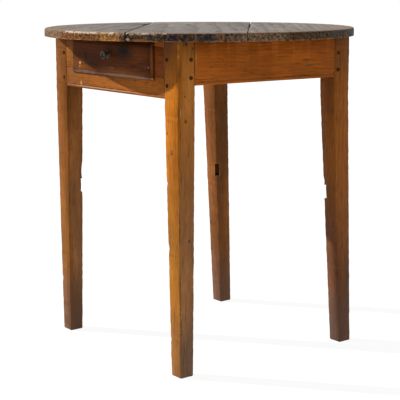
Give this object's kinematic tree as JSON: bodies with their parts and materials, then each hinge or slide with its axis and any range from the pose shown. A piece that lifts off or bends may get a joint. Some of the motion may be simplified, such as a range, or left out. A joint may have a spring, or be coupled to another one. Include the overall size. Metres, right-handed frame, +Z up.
{
  "type": "tavern table",
  "caption": "Round-topped pine tavern table on tapered square legs, with pegged aprons and a lipped drawer on runners.",
  "frame": {"origin": "on the floor under the middle of the round top, at the bottom centre of the box", "axes": "+Z up; the drawer faces -Y; +X is to the right of someone facing the drawer from outside"},
  "size_m": [0.725, 0.725, 0.75],
  "materials": {
    "pine_leg": "waxed old pine",
    "pine_apron": "waxed old pine",
    "pine_drawer_front": "dark waxed pine with stains",
    "pine_inside": "dry unfinished pine",
    "weathered_top": "weathered pine with remains of dark paint on the rim",
    "peg_wood": "dark whittled pegs",
    "iron_nail": "rusted iron",
    "old_brass": "brass, nearly black with age"
  },
  "bodies": {
    "frame": {"leg_front_left": "pine_leg", "leg_front_right": "pine_leg", "leg_back_left": "pine_leg", "leg_back_right": "pine_leg", "apron_back": "pine_apron", "apron_left": "pine_apron", "apron_right": "pine_apron", "front_rail": "pine_apron", "front_stile_left": "pine_apron", "front_stile_right": "pine_apron", "front_top_rail": "pine_apron", "top_rail_nails": "iron_nail", "pegs_back": "peg_wood", "pegs_left": "peg_wood", "pegs_right": "peg_wood", "pegs_front": "peg_wood", "top_board_left": "weathered_top", "top_board_middle": "weathered_top", "top_board_right": "weathered_top", "top_tongue_left": "pine_inside", "top_tongue_right": "pine_inside", "top_nails": "iron_nail", "guide_nails": "iron_nail", "drawer_runner_left": "pine_inside", "drawer_runner_right": "pine_inside", "drawer_guide_left": "pine_inside", "drawer_guide_right": "pine_inside", "drawer_kicker_left": "pine_inside", "drawer_kicker_right": "pine_inside"},
    "drawer": {"drawer_front": "pine_drawer_front", "drawer_side_left": "pine_inside", "drawer_side_right": "pine_inside", "drawer_back": "pine_inside", "drawer_bottom": "pine_inside", "drawer_front_nails": "iron_nail", "drawer_side_nails": "iron_nail", "drawer_bottom_nails": "iron_nail", "drawer_knob": "old_brass", "knob_washer": "old_brass", "knob_nut": "iron_nail"}
  },
  "joints": [
    {"name": "drawer_slide", "type": "slide", "parent": "frame", "child": "drawer", "axis": [0, -1, 0], "range_m": [0, 0.3]}
  ]
}
